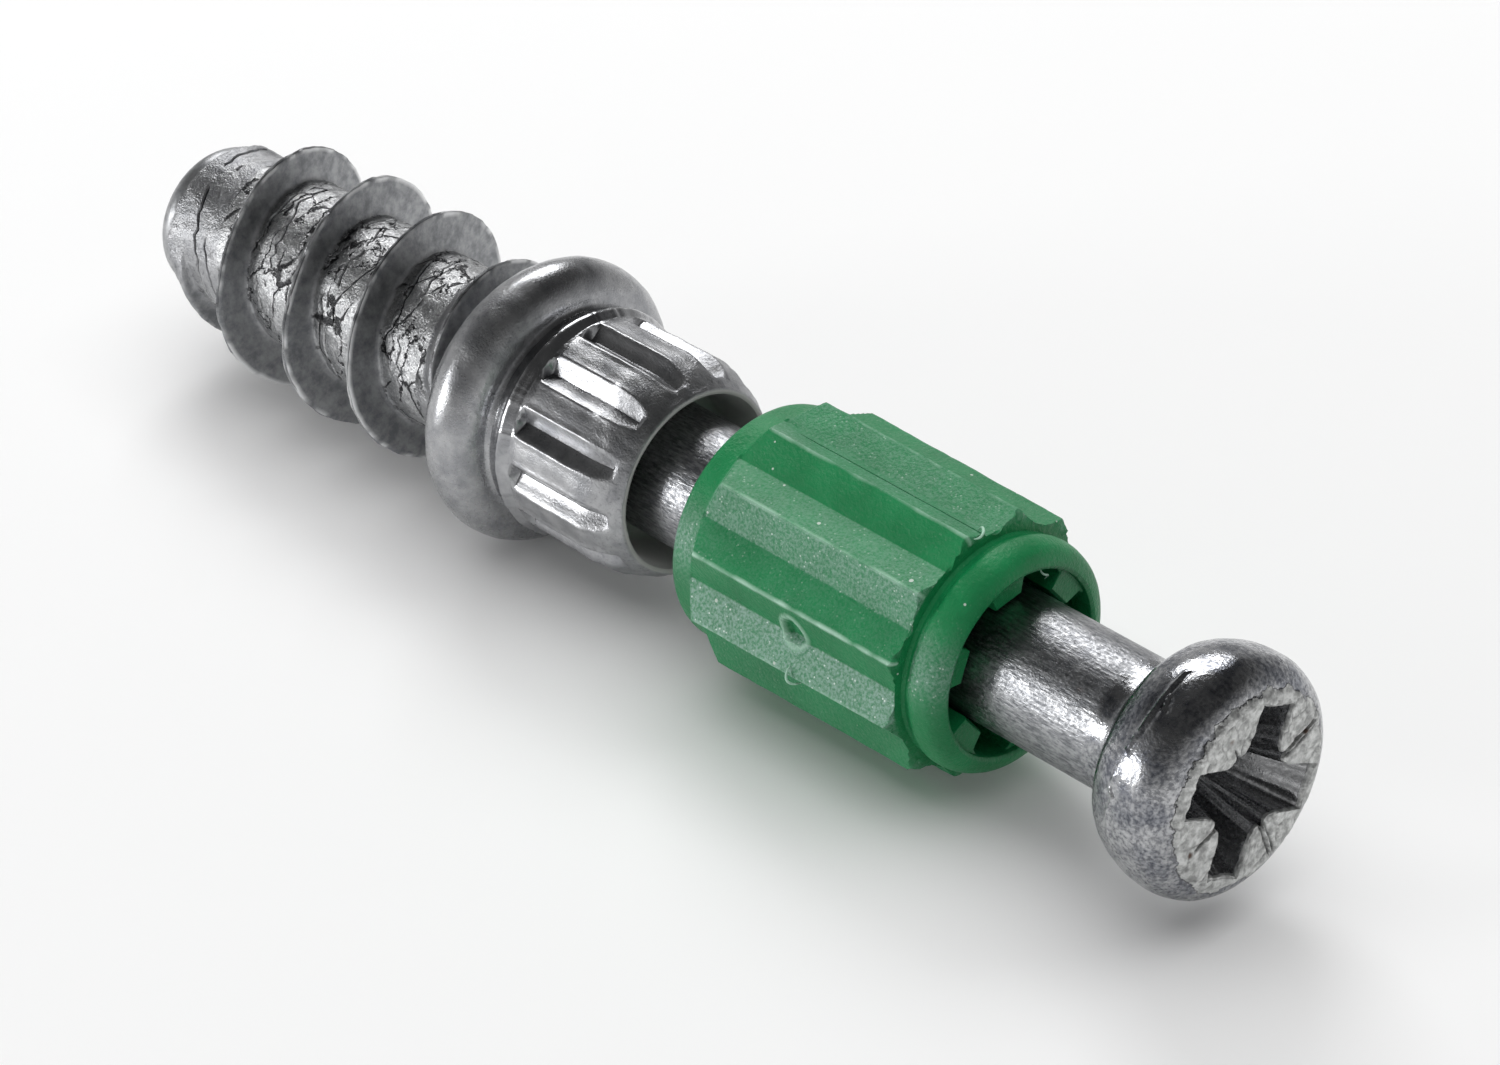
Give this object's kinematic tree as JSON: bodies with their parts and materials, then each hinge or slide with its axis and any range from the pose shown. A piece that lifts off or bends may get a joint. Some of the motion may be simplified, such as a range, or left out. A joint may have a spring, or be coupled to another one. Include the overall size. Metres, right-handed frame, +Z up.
{
  "type": "screw-in furniture connecting bolt with centring sleeve",
  "caption": "Steel screw-in anchor bolt for cam fittings: coarse wood thread, collar, fluted cup, plain neck and cross-recess head, with a loose ribbed green plastic sleeve.",
  "frame": {"origin": "on the bolt's axis, in the plane where the collar seats on the panel", "axes": "+X along the bolt's axis towards the head, with the thread's tip towards -X; +Z up as it lies, with two ribs of the sleeve side by side underneath"},
  "size_m": [0.0387, 0.008, 0.008],
  "materials": {
    "zinc_plated_steel": "cold-formed, clear zinc plated, satin with bright burnished spots",
    "green_plastic": "moulded, finely spark-eroded texture with a soft sheen"
  },
  "bodies": {
    "bolt": {"connecting_bolt": "zinc_plated_steel"},
    "sleeve": {"centring_sleeve": "green_plastic"}
  },
  "joints": [
    {"name": "sleeve_slide", "type": "slide", "parent": "bolt", "child": "sleeve", "axis": [1, 0, 0], "range_m": [-0.0022, 0.0042]}
  ]
}
